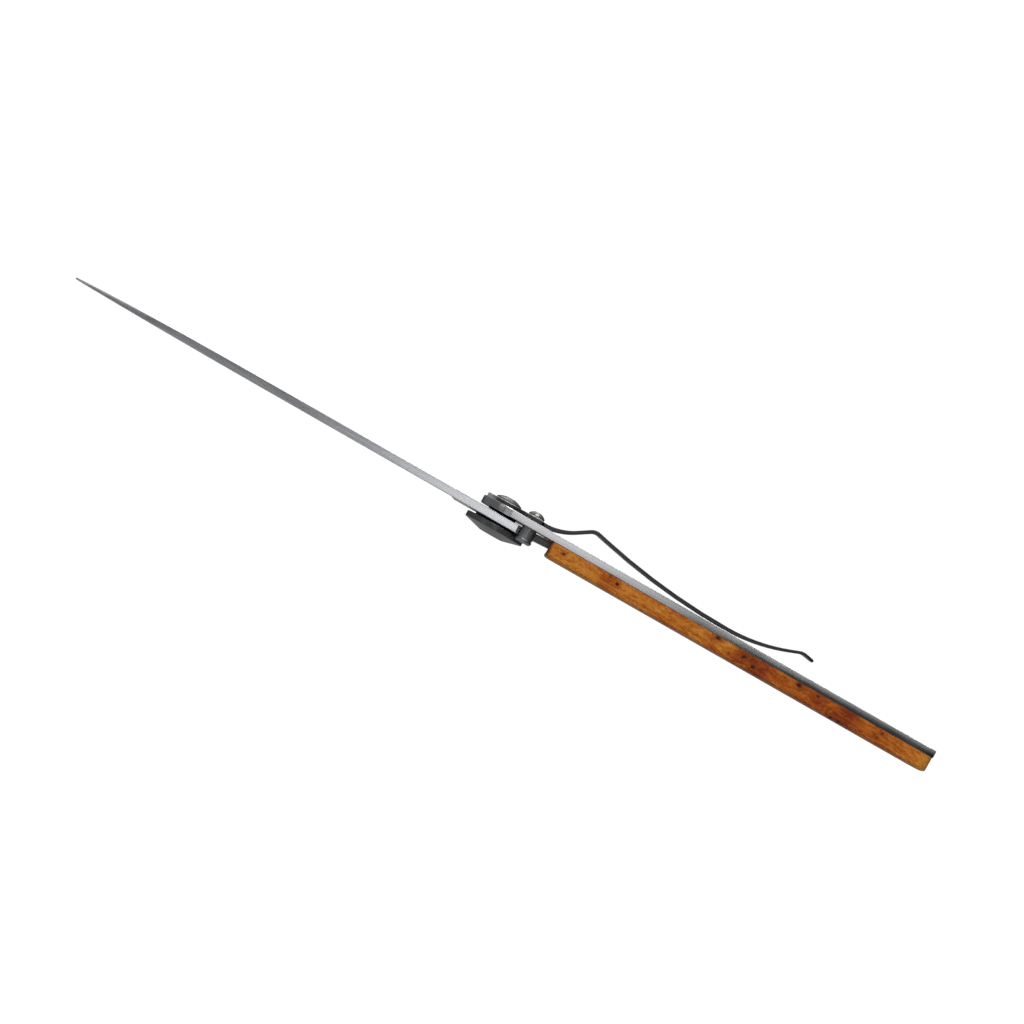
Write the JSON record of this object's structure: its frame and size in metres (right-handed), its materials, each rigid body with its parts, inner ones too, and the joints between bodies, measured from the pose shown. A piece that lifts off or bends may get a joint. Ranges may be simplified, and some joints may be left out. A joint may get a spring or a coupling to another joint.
{
  "type": "folding knife",
  "caption": "Slim folding knife, open, with a long blade, a one-sided wooden scale on a steel frame-lock handle, a round bolster and a spring pocket clip.",
  "frame": {"origin": "on the pivot axis, in the flat outer face of the pivot nut, which the knife lies on", "axes": "+X from the pivot to the handle's butt, with the open blade's tip at -X; -Y towards the spine and the handle's back, +Y towards the cutting edge; +Z towards the pocket clip"},
  "size_m": [0.205, 0.0148, 0.0117],
  "materials": {
    "frame_steel": "fine lengthwise brushing",
    "blade_steel": "satin grind",
    "burl_wood": "oiled, with small knots",
    "gunmetal": "turned, dark coated",
    "screw_steel": "satin, dark",
    "bright_washer": "bright edge",
    "slide_washer": "matte black",
    "ball_steel": "polished",
    "clip_steel": "satin dark coating"
  },
  "bodies": {
    "handle": {"frame": "frame_steel", "handle_scale": "burl_wood", "scale_screw_front": "screw_steel", "scale_screw_middle": "screw_steel", "scale_screw_rear": "screw_steel", "bolster": "gunmetal", "pivot_nut": "gunmetal", "pivot_screw": "screw_steel", "pivot_screw_washer": "bright_washer", "pivot_washer_frame_side": "slide_washer", "pivot_washer_bolster_side": "slide_washer", "stop_pin": "gunmetal", "clip_base": "clip_steel", "clip_screw": "screw_steel", "clip_screw_washer": "bright_washer"},
    "blade": {"blade": "blade_steel"},
    "lock": {"lock_bar": "frame_steel", "detent_ball": "ball_steel"},
    "clip_spring": {"clip_arm": "clip_steel"}
  },
  "joints": [
    {"name": "blade_fold", "type": "hinge", "parent": "handle", "child": "blade", "pos_m": [0, 0, 0.0037], "axis": [0, 0, -1], "range_deg": [0, 180], "deforming": ["lock_bar", "detent_ball"]},
    {"name": "lock_release", "type": "hinge", "parent": "handle", "child": "lock", "pos_m": [0.045, 0, 0.00592], "axis": [0, 1, 0], "range_deg": [0, 2.65], "stiffness_Nm_per_rad": 0.02, "springref_deg": -2.86},
    {"name": "clip_flex", "type": "hinge", "parent": "handle", "child": "clip_spring", "pos_m": [0.00859, 0, 0.0072], "axis": [0, -1, 0], "range_deg": [0, 3.5], "stiffness_Nm_per_rad": 0.05}
  ]
}
